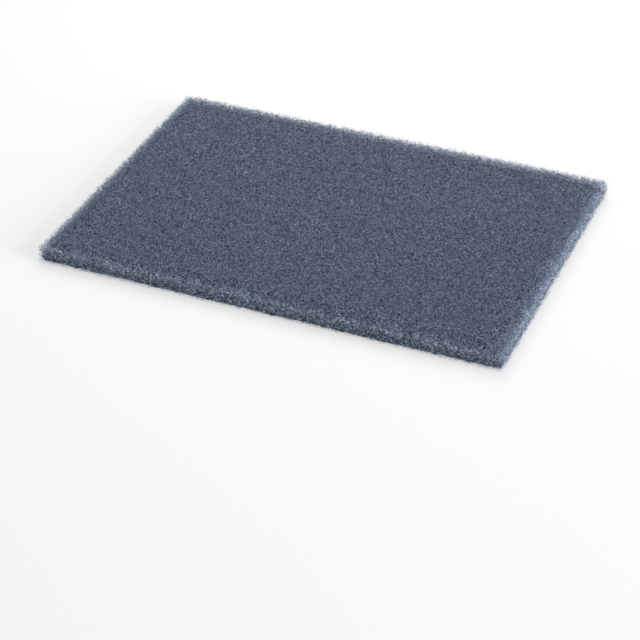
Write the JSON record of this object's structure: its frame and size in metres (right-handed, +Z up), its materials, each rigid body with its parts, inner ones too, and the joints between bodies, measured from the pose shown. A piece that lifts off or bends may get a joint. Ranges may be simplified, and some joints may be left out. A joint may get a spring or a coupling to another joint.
{
  "type": "non-woven abrasive pad",
  "caption": "Rectangular hand pad of lofty non-woven abrasive web, die-cut, with soft rolled edges and faces that swell slightly.",
  "frame": {"origin": "middle of the lower face that the pad lies on", "axes": "+X along the length, +Y across the width towards the back edge, +Z up through the thickness"},
  "size_m": [0.224, 0.158, 0.0098],
  "materials": {
    "abrasive_web": "matte slate-blue web of crimped nylon staple fibres, bonded by resin with fine abrasive grain"
  },
  "bodies": {
    "root": {"abrasive_pad": "abrasive_web"}
  },
  "joints": []
}
